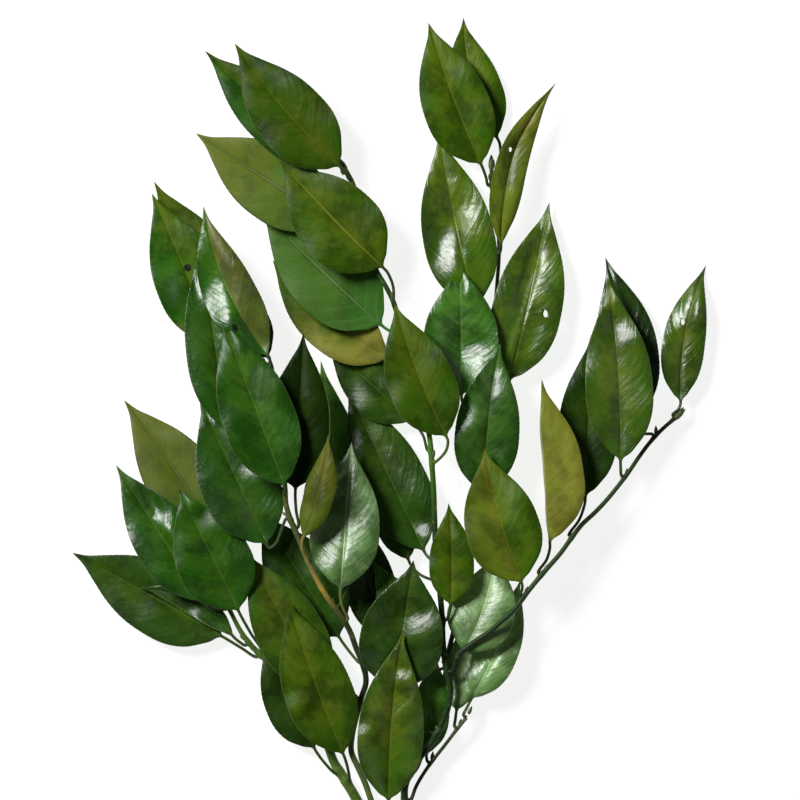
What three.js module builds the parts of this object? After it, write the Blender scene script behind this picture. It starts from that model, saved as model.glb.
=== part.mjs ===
// A cut, forked branch of camellia foliage, lying flat on a surface.
//
// Millimetres, +Z up. The branch is drafted with its fork near X = 0, Y = 0 and its twigs
// spreading towards +Y, and is then moved so that the middle of its underside is the origin.
// Every leaf is one solid, a blade with its petiole. Every twig is one solid. Where two of them
// meet there is a gap of SEAM, so that no two solids touch.
import * as THREE from "three";

const SEAM = 0.35;
const PETIOLE_RADIUS = 0.75;
const BLADE_THICKNESS = 0.5;
const MIDRIB_THICKNESS = 0.9;
const STEM_SIDES = 8;
const STEM_STEP = 9;
const STEM_FIRST_CORNER = 157.5;
const PETIOLE_BEND = 0.45;
const HOOK_POWER = 6;
const TANGENT_STEP = 0.01;

// Places along a blade, as a share of its length, and its half width there, as a share of the widest.
const BLADE_OUTLINE = [
  [0.0, 0.05],
  [0.07, 0.4],
  [0.16, 0.76],
  [0.28, 0.97],
  [0.42, 1.0],
  [0.56, 0.92],
  [0.69, 0.71],
  [0.82, 0.38],
  [0.91, 0.14],
];
const PETIOLE_PLACES = [0, 0.4, 0.8];
const PETIOLE_CORNERS = [150, 90, 30, -30, -90, -150];

// Colours of the leaves' upper sides, of the dull undersides and of the bark.
const DEEP = { color: 0x1f4d14, roughness: 0.32, metalness: 0 };
const BLUISH = { color: 0x1c5226, roughness: 0.3, metalness: 0 };
const OLIVE = { color: 0x45601a, roughness: 0.4, metalness: 0 };
const KHAKI = { color: 0x6b6f2a, roughness: 0.6, metalness: 0 };
const GREEN_BARK = { color: 0x4f7a34, roughness: 0.7, metalness: 0 };
const DARK_BARK = { color: 0x1b3320, roughness: 0.75, metalness: 0 };

// The leaves of each twig, a row each: where the petiole meets the twig, the base and the tip of
// the blade, its greatest width, its finish, and its shape where that isn't the usual one.
const CENTRE_LEAVES = [
  [[-17.5, 339], [-21, 342.5, 13], [-88, 400, 0.2], 31, DEEP, { sweep: -2 }],
  [[-15, 336], [-20, 341.5, 17], [-73, 403.5, 7], 36, OLIVE, { sweep: -2.6 }],
  [[-10, 314], [-24, 314, 9.5], [-92.5, 358.5, 2.5], 38, KHAKI, { arch: 1, fold: 7 }],
  [[7, 272.5], [1.5, 291, 19], [-50.5, 345, 10.5], 41, OLIVE, { sweep: -1 }],
  [[10, 258.5], [1, 262, 11], [-60.5, 321, 1.5], 41, BLUISH, { arch: 1, sweep: -1 }],
  [[13, 247], [4, 245.5, 8.5], [-56.5, 292, 0.2], 30, OLIVE, { arch: 0, sweep: -3, hook: 4 }],
  [[24.5, 200], [16, 214.5, 10], [-27.5, 253.5, 1], 28, DEEP, { arch: 0, fold: 4 }],
  [[27, 194], [33, 206.5, 25], [7, 273.5, 20], 34, OLIVE, { sweep: -2 }],
  [[28, 145], [22, 149, 13], [-17.5, 233, 1.5], 35, BLUISH, { arch: 0.5, fold: 6 }],
  [[29, 135], [14, 145, 6.5], [-2.5, 192.5, 4], 20, DEEP, { arch: 0, fold: 4 }],
  [[28, 57.5], [6.5, 79, 14], [16.5, 145, 24], 42, DEEP],
  [[6, 12], [4, 24, 9], [11.5, 110, 24], 33, OLIVE, { sweep: -2 }],
  [[33, 91], [27, 91, 12.5], [-4, 145, 11], 24, DEEP, { arch: 0, fold: 5 }],
  [[12, 26], [11, 32.5, 5.5], [19, 80, 3.5], 16, DEEP, { arch: 0, fold: 3 }],
  [[31, 115], [35, 122.5, 20.5], [34, 173.5, 21.5], 22.5, DEEP, { sweep: 1 }],
];

const TOP_LEAVES = [
  [[55.5, 332.5], [50.5, 342.5, 9], [24, 414, 3], 34, DEEP, { arch: 3, sweep: -1.5 }],
  [[56, 338.5], [58.5, 356, 5], [41.5, 416.5, 0.2], 26.5, OLIVE, { arch: 0, fold: 5, sweep: -4 }],
  [[59, 299], [60.3, 302.5, 9], [88, 384, 10], 16.5, OLIVE, { roll: 14, arch: 5, sweep: -8 }],
  [[57, 260], [47, 270.5, 8.5], [28.7, 359, 5], 36, DEEP, { sweep: -0.5 }],
  [[54.5, 227.5], [64.5, 234.5, 9], [84.5, 324, 4], 35, DEEP, { sweep: 0.8 }],
  [[52, 212.5], [40.5, 227, 13], [40, 294, 12], 38, BLUISH],
  [[48.5, 168], [52, 177.5, 15.5], [60, 253.5, 19], 32.5, DEEP, { sweep: -2 }],
];

const RIGHT_LEAVES = [
  [[71.5, 126.5], [70.5, 133.5, 28.5], [52, 201, 24], 37.5, OLIVE, { sweep: -2 }],
  [[80.5, 137.5], [84.6, 153.5, 26], [80.5, 235.5, 24], 40, KHAKI, { roll: -44, fold: -44, sweep: -1 }],
  [[96, 156.5], [102.5, 176.5, 15], [105.5, 258, 7], 30, DEEP],
  [[122, 186], [120, 194, 17], [113.5, 286.5, 14], 34, OLIVE, { sweep: 2 }],
  [[137.5, 206.5], [124, 212.5, 8], [112.5, 296.5, 3], 31.5, DEEP, { arch: 0, sweep: 4.5 }],
  [[147.5, 216], [150.2, 224, 8], [163, 292.5, 0.2], 21.5, DEEP, { sweep: -4 }],
  [[38, 97], [41.3, 99, 16], [57, 149, 16], 33, BLUISH, { arch: 1, fold: 2, sweep: 3 }],
];

const LOWER_LEAVES = [
  [[25, 43], [23, 47.5, 7.5], [28, 97.5, 7.5], 19, BLUISH, { arch: 0, fold: 4 }],
  [[43, 66], [45.5, 75.5, 10.5], [70, 135, 13], 23, BLUISH, { arch: 0, fold: 5, sweep: 2 }],
  [[38.5, 60.5], [38, 69.5, 9], [44, 116, 9], 18, BLUISH, { arch: 0, fold: 2 }],
];

const LEFT_LEAVES = [
  [[-8, 91], [3, 104, 8], [-17, 173, 1.5], 26, DEEP, { arch: 0 }],
  [[-65, 251], [-67.5, 265, 5], [-113.5, 334.5, 0.2], 30, OLIVE, { fold: 3, sweep: -2 }],
  [[-67, 254], [-81.5, 252.5, 10], [-114.5, 328.5, 5.5], 35, DEEP, { arch: 0, fold: 6 }],
  [[-58, 241], [-56, 247, 23.5], [-88.5, 322, 19], 27, OLIVE, { sweep: -5.5 }],
  [[-52, 212.5], [-76.5, 209, 24], [-90.5, 306.5, 15], 30, DEEP, { arch: 0 }],
  [[-57, 235], [-56, 246, 16.5], [-87.5, 293, 11], 24, DEEP],
  [[-47.5, 178], [-47.8, 181.5, 34.3], [-79.5, 266.5, 27], 37, DEEP],
  [[-45.5, 166], [-56.5, 152.5, 20.5], [-90.5, 225, 14], 39, DEEP],
  [[-43, 161], [-42.5, 180, 26.2], [-38.5, 258.5, 22.5], 32, DEEP],
  [[-36.5, 145], [-38.5, 156.5, 32.5], [-26, 208, 33], 17, OLIVE, { roll: -22, fold: -10, sweep: 2 }],
  [[-17.5, 115], [-20, 130, 24], [-14.5, 204, 18], 35, DEEP],
  [[-10.5, 93.5], [-20.5, 106, 10], [-61, 170, 5], 36, BLUISH],
  [[-22.5, 120.5], [-14, 150, 9], [-30, 245, 0.4], 26, BLUISH, { arch: 0, fold: 1 }],
  [[-11, 72.5], [-29, 79, 13], [-67.5, 149.5, 13], 34, OLIVE, { fold: 6 }],
];

const FAR_LEFT_LEAVES = [
  [[-77.5, 125], [-78.5, 151, 9], [-128.5, 225, 1], 36, KHAKI, { sweep: 1.5 }],
  [[-76, 121], [-88.5, 124, 13.5], [-132.5, 192.5, 7], 31, BLUISH],
  [[-60, 99], [-71, 119.5, 16], [-101, 181, 17], 38, DEEP],
  [[-60.5, 98], [-79, 106.5, 7], [-154.5, 148.5, 0.2], 37, DEEP, { arch: 0, sweep: 0.5 }],
  [[-66, 103.5], [-74, 107, 9], [-122, 131, 7], 12, BLUISH, { arch: 0, sweep: 6 }],
  [[-17.5, 34], [-18.5, 47.5, 14], [-46.5, 125.5, 21], 34.5, OLIVE, { sweep: -1.2 }],
  [[-22.5, 38.5], [-33, 50.5, 9], [-57.5, 108, 10], 27, DEEP, { arch: 0, fold: 6, sweep: -1.5 }],
];

const UP = new THREE.Vector3(0, 0, 1);
const radians = THREE.MathUtils.degToRad;
const branch = new THREE.Group();

function vector(point) {
  return new THREE.Vector3(...point);
}

// The two directions across a path that runs along tangent: upwards, and to the right of it.
function across(tangent, roll = 0) {
  const up = UP.clone().addScaledVector(tangent, -UP.dot(tangent)).normalize();
  up.applyAxisAngle(tangent, radians(roll));
  const right = new THREE.Vector3().crossVectors(tangent, up);
  return { up, right };
}

// A closed solid through rings of equal size, each given clockwise as seen along the path.
// It ends in a flat cap, or in a point where apex is given.
function skin(rings, apex) {
  const size = rings[0].length;
  const corners = rings.flat();
  const faces = [];
  for (let ring = 0; ring < rings.length - 1; ring++) {
    for (let k = 0; k < size; k++) {
      const a = ring * size + k;
      const b = ring * size + ((k + 1) % size);
      faces.push(a, b, b + size, a, b + size, a + size);
    }
  }
  for (let k = 1; k < size - 1; k++) {
    faces.push(0, k + 1, k);
  }
  const last = (rings.length - 1) * size;
  if (apex) {
    corners.push(apex);
    for (let k = 0; k < size; k++) {
      faces.push(last + k, last + ((k + 1) % size), corners.length - 1);
    }
  } else {
    for (let k = 1; k < size - 1; k++) {
      faces.push(last, last + k, last + k + 1);
    }
  }
  const geometry = new THREE.BufferGeometry().setFromPoints(corners);
  geometry.setIndex(faces);
  return geometry;
}

function add(name, geometry, finish) {
  const flat = geometry.toNonIndexed();
  flat.computeVertexNormals();
  const mesh = new THREE.Mesh(flat, new THREE.MeshStandardMaterial(finish));
  mesh.name = name;
  branch.add(mesh);
}

// A twig through the given points, tapering from one radius to the other. Returns its path, as
// places with their tangent and radius, for what grows on it.
function stem(name, points, radii, finish) {
  const curve = new THREE.CatmullRomCurve3(points.map(vector), false, "centripetal");
  const steps = Math.max(3, Math.round(curve.getLength() / STEM_STEP));
  const path = [];
  const rings = [];
  for (let i = 0; i <= steps; i++) {
    const place = curve.getPointAt(i / steps);
    const tangent = curve.getTangentAt(i / steps);
    const radius = THREE.MathUtils.lerp(radii[0], radii[1], i / steps);
    const { up, right } = across(tangent);
    const ring = [];
    for (let k = 0; k < STEM_SIDES; k++) {
      const turn = radians(STEM_FIRST_CORNER - (k * 360) / STEM_SIDES);
      const corner = place.clone().addScaledVector(right, radius * Math.cos(turn));
      ring.push(corner.addScaledVector(up, radius * Math.sin(turn)));
    }
    rings.push(ring);
    path.push({ place, tangent, radius });
  }
  add(name, skin(rings), finish);
  return path;
}

// Where something of this radius starts on a twig: beside the twig at (x, y), on the side that
// faces its goal, a seam away from the bark.
function sprout(twig, [x, y], goal, radius) {
  let nearest = null;
  let least = Infinity;
  for (let i = 0; i < twig.length - 1; i++) {
    const [a, b] = [twig[i], twig[i + 1]];
    const run = b.place.clone().sub(a.place);
    const flat = run.x * run.x + run.y * run.y;
    const along = ((x - a.place.x) * run.x + (y - a.place.y) * run.y) / flat;
    const share = THREE.MathUtils.clamp(along, 0, 1);
    const place = a.place.clone().addScaledVector(run, share);
    const distance = Math.hypot(place.x - x, place.y - y);
    if (distance < least) {
      least = distance;
      nearest = { place, tangent: run.normalize(), radius: a.radius };
    }
  }
  const out = vector(goal).sub(nearest.place);
  out.addScaledVector(nearest.tangent, -out.dot(nearest.tangent)).normalize();
  return nearest.place.clone().addScaledVector(out, nearest.radius + SEAM + radius);
}

// One leaf: a blade from base to tip, and a petiole that meets its twig at at. Its shape:
//   roll    its turn about the midrib, positive with the right side down
//   fold    how far each half rises from the midrib, in degrees
//   arch    how far its middle stands above the straight line from base to tip
//   sweep   how far its middle lies to the right of that line
//   hook    how far its drip tip turns to the right at the end
function leaf(name, twig, at, base, tip, width, finish, shape = {}) {
  const { roll = 0, fold = 9, arch = 2, sweep = 0, hook = 0 } = shape;
  const [start, end] = [vector(base), vector(tip)];
  const chord = end.clone().sub(start).normalize();
  const side = across(chord).right;
  const middle = start.clone().lerp(end, 0.5);
  middle.addScaledVector(side, 2 * sweep).addScaledVector(UP, 2 * arch);
  const midrib = new THREE.QuadraticBezierCurve3(start, middle, end);
  const along = (share) => midrib.getPoint(share).addScaledVector(side, hook * share ** HOOK_POWER);

  const foot = sprout(twig, at, base, PETIOLE_RADIUS);
  const heading = midrib.getTangent(0);
  const bend = start.clone().addScaledVector(heading, -PETIOLE_BEND * foot.distanceTo(start));
  const petiole = new THREE.QuadraticBezierCurve3(foot, bend, start);
  const rings = PETIOLE_PLACES.map((share) => {
    const place = petiole.getPoint(share);
    const { up, right } = across(petiole.getTangent(share), roll * share);
    return PETIOLE_CORNERS.map((corner) => {
      const turn = radians(corner);
      const point = place.clone().addScaledVector(right, PETIOLE_RADIUS * Math.cos(turn));
      return point.addScaledVector(up, PETIOLE_RADIUS * Math.sin(turn));
    });
  });
  for (const [share, fullness] of BLADE_OUTLINE) {
    const place = along(share);
    const behind = along(Math.max(0, share - TANGENT_STEP));
    const tangent = along(share + TANGENT_STEP).sub(behind).normalize();
    const { up, right } = across(tangent, roll);
    const half = Math.max(fullness * width * 0.5, PETIOLE_RADIUS);
    const rise = up.clone().multiplyScalar(half * Math.sin(radians(fold)));
    const reach = right.clone().multiplyScalar(half * Math.cos(radians(fold)));
    const rightEdge = place.clone().add(rise).add(reach);
    const leftEdge = place.clone().add(rise).sub(reach);
    const lift = (point, height) => point.clone().addScaledVector(up, height);
    rings.push([
      lift(leftEdge, BLADE_THICKNESS / 2),
      lift(place, MIDRIB_THICKNESS / 2),
      lift(rightEdge, BLADE_THICKNESS / 2),
      lift(rightEdge, -BLADE_THICKNESS / 2),
      lift(place, -MIDRIB_THICKNESS / 2),
      lift(leftEdge, -BLADE_THICKNESS / 2),
    ]);
  }
  add(name, skin(rings, along(1)), finish);
}

// A twig's leaves, numbered in the order of their rows.
function grow(prefix, twig, rows) {
  rows.forEach((row, i) => leaf(`${prefix}_${String(i + 1).padStart(2, "0")}`, twig, ...row));
}

// The cut stem and its fork. Each twig starts beside the one that bears it.
const main = stem("stem_main", [[3, -26, 2.5], [1, -15, 2.5], [0, -6, 2.9]], [2.5, 2.4], GREEN_BARK);

function farLeftStem() {
  const points = [
    [-0.2, -5.4, 3.4], [-4, 8, 3.5], [-12, 25, 3.8], [-17.2, 34, 4], [-22.5, 42, 4.2],
    [-27.5, 54, 4.6], [-40, 75, 5.3], [-50, 86, 6], [-59, 96.5, 7], [-65, 102.5, 8],
    [-71, 111, 8.6], [-77.5, 125, 9],
  ];
  return stem("stem_far_left", points, [3, 1], GREEN_BARK);
}

function leftStem() {
  const next = [2, 6, 4.2];
  const start = sprout(main, [0.5, -11], [9, -6, 4], 1.6);
  const points = [
    start.toArray(), next, [-5, 25.5, 5.5], [-8, 34, 6.5], [-12.5, 44, 8], [-15, 51, 8.6],
    [-13, 62.5, 10], [-9.5, 76.5, 12], [-7, 87, 14.5], [-11, 97.5, 16.5], [-17, 113, 18.5],
    [-22.5, 120.5, 20], [-30, 132, 22], [-36.5, 145, 23.5], [-43, 161, 24.5], [-46.5, 169, 24.5],
    [-48, 185, 24], [-50, 205, 22], [-54, 225, 19], [-59, 244, 16], [-70, 257.5, 12.5],
  ];
  return stem("stem_left", points, [1.6, 1.2], GREEN_BARK);
}

function centreStem() {
  const start = sprout(main, [2, -21], [12, -17, 4], 1.75);
  const points = [
    start.toArray(), [9.5, -4, 4], [11, 10, 6], [12, 26, 8], [13, 34, 10], [19, 45, 12],
    [27, 56, 13.5], [33, 69, 15], [35, 80, 15.8], [33, 91, 16], [31.5, 100, 16.3],
    [30.5, 120, 17], [28, 145, 17.5], [27, 167, 18], [26.5, 180, 18.3], [25.5, 195, 18.5],
    [24, 210, 18.5], [17.5, 232, 18], [11, 255, 17], [7, 272.5, 16.5], [2, 283, 15.8],
    [-3, 292, 15], [-10, 317, 14], [-14, 334, 13], [-17.5, 340, 12.5],
  ];
  return stem("stem_centre", points, [1.75, 1.1], DARK_BARK);
}

function topStem(centre) {
  const start = sprout(centre, [32, 97], [35.5, 104, 6], 1.25);
  const points = [
    start.toArray(), [35.2, 104, 10.5], [37.2, 112, 9.6], [39.5, 123.5, 9.2], [44, 142.5, 9],
    [48, 175, 8.6],
    [52, 210, 8], [55, 245, 6.5], [57, 266, 5.5], [58.5, 285, 5], [59.3, 301, 5],
    [58, 317, 5], [55.5, 332.5, 5.5], [55.5, 341, 6],
  ];
  return stem("stem_top", points, [1.25, 0.9], DARK_BARK);
}

function rightStem(centre) {
  const start = sprout(centre, [33.5, 89], [40, 98, 20], 1.4);
  const points = [
    start.toArray(), [40, 99, 20.5], [45.5, 103, 22], [53, 108, 23.5], [60, 114, 25],
    [67.5, 121, 26], [73, 128.5, 26], [80, 137, 25.5], [90, 148.5, 24], [100, 162, 21],
    [110, 171.5, 18.5], [122, 186, 15.5], [130, 197.5, 12.5], [137.5, 207, 10],
    [144, 213, 8.5], [147.5, 216, 8],
  ];
  return stem("stem_right", points, [1.4, 1.0], DARK_BARK);
}

function lowerStem(centre) {
  const start = sprout(centre, [12, 24], [19, 32, 7.5], 0.95);
  const points = [
    start.toArray(), [19, 34, 8], [25, 43, 8.5], [32, 52, 9.3], [38.5, 60.5, 10], [43, 66, 10.2],
  ];
  return stem("stem_lower", points, [0.95, 0.85], DARK_BARK);
}

const farLeft = farLeftStem();
const left = leftStem();
const centre = centreStem();
const top = topStem(centre);
const right = rightStem(centre);
const lower = lowerStem(centre);

grow("leaf_centre", centre, CENTRE_LEAVES);
grow("leaf_top", top, TOP_LEAVES);
grow("leaf_right", right, RIGHT_LEAVES);
grow("leaf_lower", lower, LOWER_LEAVES);
grow("leaf_left", left, LEFT_LEAVES);
grow("leaf_far_left", farLeft, FAR_LEFT_LEAVES);

// The origin is the middle of the underside of the whole branch.
const box = new THREE.Box3().setFromObject(branch);
const centreOfBox = box.getCenter(new THREE.Vector3());
const placed = new THREE.Group();
branch.position.set(-centreOfBox.x, -centreOfBox.y, -box.min.z);
placed.add(branch);

export default placed;
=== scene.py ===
"""A cut, forked branch of camellia foliage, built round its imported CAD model. Metres, +Z up.

Every leaf and twig is a fine mesh that follows the solid it stands for. The solid's rings of
corners give a leaf's midrib, margins and petiole, and a twig's path and thickness. What is finer
than that is added here: toothed margins, ribs and veins, the arch and the dents of each blade,
leaf scars, buds, holes and the cut end.
"""

import math
import random

import bmesh
import bpy
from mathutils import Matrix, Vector


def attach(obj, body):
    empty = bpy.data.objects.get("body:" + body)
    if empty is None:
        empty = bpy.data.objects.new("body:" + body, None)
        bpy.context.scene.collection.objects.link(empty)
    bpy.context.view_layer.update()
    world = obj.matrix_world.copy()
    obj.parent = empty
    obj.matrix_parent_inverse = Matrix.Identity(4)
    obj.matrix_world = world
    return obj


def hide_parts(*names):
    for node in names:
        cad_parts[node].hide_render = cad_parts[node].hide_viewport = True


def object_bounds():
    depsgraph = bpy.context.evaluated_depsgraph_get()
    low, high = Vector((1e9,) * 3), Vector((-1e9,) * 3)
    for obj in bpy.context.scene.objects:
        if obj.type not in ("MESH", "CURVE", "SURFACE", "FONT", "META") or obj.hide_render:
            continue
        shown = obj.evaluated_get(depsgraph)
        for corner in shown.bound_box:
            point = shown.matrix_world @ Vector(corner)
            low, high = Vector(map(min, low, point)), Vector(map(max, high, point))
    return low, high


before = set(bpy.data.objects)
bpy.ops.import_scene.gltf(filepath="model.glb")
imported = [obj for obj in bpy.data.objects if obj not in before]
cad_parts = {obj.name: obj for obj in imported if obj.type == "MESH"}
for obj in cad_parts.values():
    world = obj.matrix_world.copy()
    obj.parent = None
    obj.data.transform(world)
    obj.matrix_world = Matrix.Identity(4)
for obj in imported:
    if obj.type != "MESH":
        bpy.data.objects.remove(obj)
CAD_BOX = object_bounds()

MM = 0.001
UP = Vector((0, 0, 1))

# The CAD solids: corners nearer than WELD are one corner. A leaf's first PETIOLE_RINGS rings are its
# petiole's. A twig's rings have edges shorter than RING_EDGE, and longer edges between them.
WELD = 0.02 * MM
PETIOLE_RINGS = 3
RING_CORNERS = 6
RING_EDGE = 4 * MM

# Leaves. A place along a blade is a share of its length, from the foot. A place across it is a
# share of the way out from the midrib.
BLADE_THICKNESS = 0.4 * MM
MARGIN_POWER = 8
COLUMNS = (0.0, 0.02, 0.045, 0.085, 0.16, 0.27, 0.40, 0.54, 0.68, 0.82, 0.93, 0.98, 1.0)
LAST_ROW = 0.992
BLADE_OPENS = 0.05
TANGENT_STEP = 0.004
PETIOLE_RADIUS = 0.75 * MM
PETIOLE_STEP = 1.0 * MM
PETIOLE_MERGES = 0.08
FEWEST_ROWS = 6

# The petiole flares at the twig. The midrib thins towards the tip, and so does the groove over it.
FOOT_FLARE = 0.55
FOOT_LENGTH = 1.6 * MM
RIB_AT_TIP = 0.25
GROOVE_DEPTH = 0.22 * MM
GROOVE_WIDTH = 0.8 * MM
GROOVE_FADE = 0.7

# The margin's teeth stand on TOOTHED, and each is highest at TOOTH_PEAK of its own length.
TOOTH_LENGTH = 2.6 * MM
TOOTH_HEIGHT = 0.14 * MM
TOOTHED = (0.10, 0.94)
TOOTH_FADE = 0.08
TOOTH_PEAK = 0.8
TOOTH_PLACES = (0.0, 0.4, TOOTH_PEAK, 0.95)
TEETH_SPAN = 0.99

# The lateral veins: how many, how far they slant and bend towards the tip, how far the two sides
# alternate, and how far and often they waver. The blade is quilted a little between them.
VEINS = 8.5
VEIN_SLANT = 0.14
VEIN_BEND = 0.08
VEIN_STAGGER = 0.25
VEIN_WAVER = 0.35
WAVER_TURNS = (0.8, 1.6)
QUILT_HEIGHT = 0.03 * MM

# The curve of each half blade across and along, and the waves of its margin.
HALF_POWER = 0.85
BODY_POWER = 0.8
DROOP_STARTS = 0.7
WAVES = 3
WAVE_TURNS = (1.2, 3.2)

# The slope to which a blade's dents bring it, towards +X and +Y. Dents end beyond DENT_REACH.
DENT_NORMAL = Vector((-0.33, 0.27, 0))
DENT_EDGE = 1.3
DENT_REACH = 6
DENT_STEPS = (0.03, 0.08)

# Each blade also has shallow stray dents.
STRAY_DENTS = 5
STRAY_ALONG = (0.1, 0.85)
STRAY_ACROSS = (-0.8, 0.8)
STRAY_SLOPE = (0.04, 0.11)
STRAY_SIZE = (5, 10)
STRAY_STRETCH = 1.7

# Holes in blades
HOLE_SIDES = 14
HOLE_RAGGED = (0.8, 1.15)
HOLE_NARROW = 0.6
HOLE_DEPTH = 5 * MM

# Twigs, which have RIDGES soft ridges that wind along them
TWIG_SIDES = 20
TWIG_STEP = 1.2 * MM
TWIG_TANGENT_STEP = 0.3 * MM
FIRST_RING = 0.9
RIDGES = 3
RIDGE_HEIGHT = 0.03
RIDGE_TURN = 9 * MM

# A petiole that starts within NODE_REACH of a twig grows from it. The twig swells there, most on
# the petiole's side, with a low ring just below.
NODE_REACH = 4 * MM
NODE_LENGTH = 2.2 * MM
NODE_SWELL = 0.10
NODE_SWELL_TOWARDS = 0.32
SCAR_BELOW = 1.6 * MM
SCAR_WIDTH = 0.35 * MM
SCAR_HEIGHT = 0.07

# Buds: one in each leaf's axil, and a longer one at most twigs' ends
BUD_SIDES = 12
BUD_ROWS = 14
BUD_FOOT = 0.12
BUD_POWER = 0.8
BUD_SCALES = 3
BUD_SCALE_STEP = 0.08
AXIL_SIZE = (0.7, 1.2)
AXIL_LENGTH = 4.2 * MM
AXIL_RADIUS = 0.85 * MM
AXIL_ONWARD = 1.6 * MM
AXIL_OUT = 0.6 * MM
AXIL_LEAN = 0.7
END_BUD = (8 * MM, 1.5 * MM)
END_BUD_SUNK = 1.0 * MM
NO_END_BUD = ("stem_main", "stem_lower")

LEAVES = sorted(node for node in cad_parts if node.startswith("leaf_"))
TWIGS = sorted(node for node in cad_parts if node.startswith("stem_"))

# How each leaf looks:
#   tone    its colours
#   value   how light it is against others of its tone
#   rough   how dull its surface is
#   gloss   how strong its sheen is
#   coat    how strong the clear gloss over that is
#   arch    how far each half blade stands above the straight line from midrib to margin, in mm
#   wave    how far its margins rise and fall, in mm
#   droop   how far its margins turn down, in mm
#   back    True where it lies face down
#   dents   where it is dented: place along it, place across it from -1 (left) to 1, size along
#           and across it in mm, and how far it turns there to the common slope
#   spots   where it has a dark spot: place along it, place across it, rough radius in mm
#   hole    the same for a hole
#   rib     how clearly the midrib's pale line shows
#   rim     how pale and wide the very edge's line is, a painted highlight along the margin
#   relief  how far the veins and the fine ridges beside them stand out, in mm
#   drift   how strongly, and how soon, the main colour changes to the second towards the tip
#   half    what is different on one half: its tone, its side (-1 left, 1 right), value, roughness
#   stalk   the petiole's colour
USUAL = {
    "rough": 0.36, "gloss": 0.26, "coat": 0.05, "arch": 0.8, "wave": 0.45, "droop": 0.3,
    "back": False, "dents": (), "spots": (), "hole": None, "rib": 0.3, "rim": 0.5,
    "relief": 0.3, "drift": (0.3, 0.0), "half": None, "stalk": (58, 82, 30),
}
GLOSSY = {"rough": 0.31, "gloss": 0.6, "coat": 0.15, "relief": 0.45}
MATTE = {"rough": 0.42, "gloss": 0.15, "coat": 0.0}


def usual(tone, value=1.0, **more):
    return {**USUAL, "tone": tone, "value": value, **more}


def glossy(tone, value=1.0, **more):
    return usual(tone, value, **{**GLOSSY, **more})


def matte(tone, value=1.0, **more):
    return usual(tone, value, **{**MATTE, **more})


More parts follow.
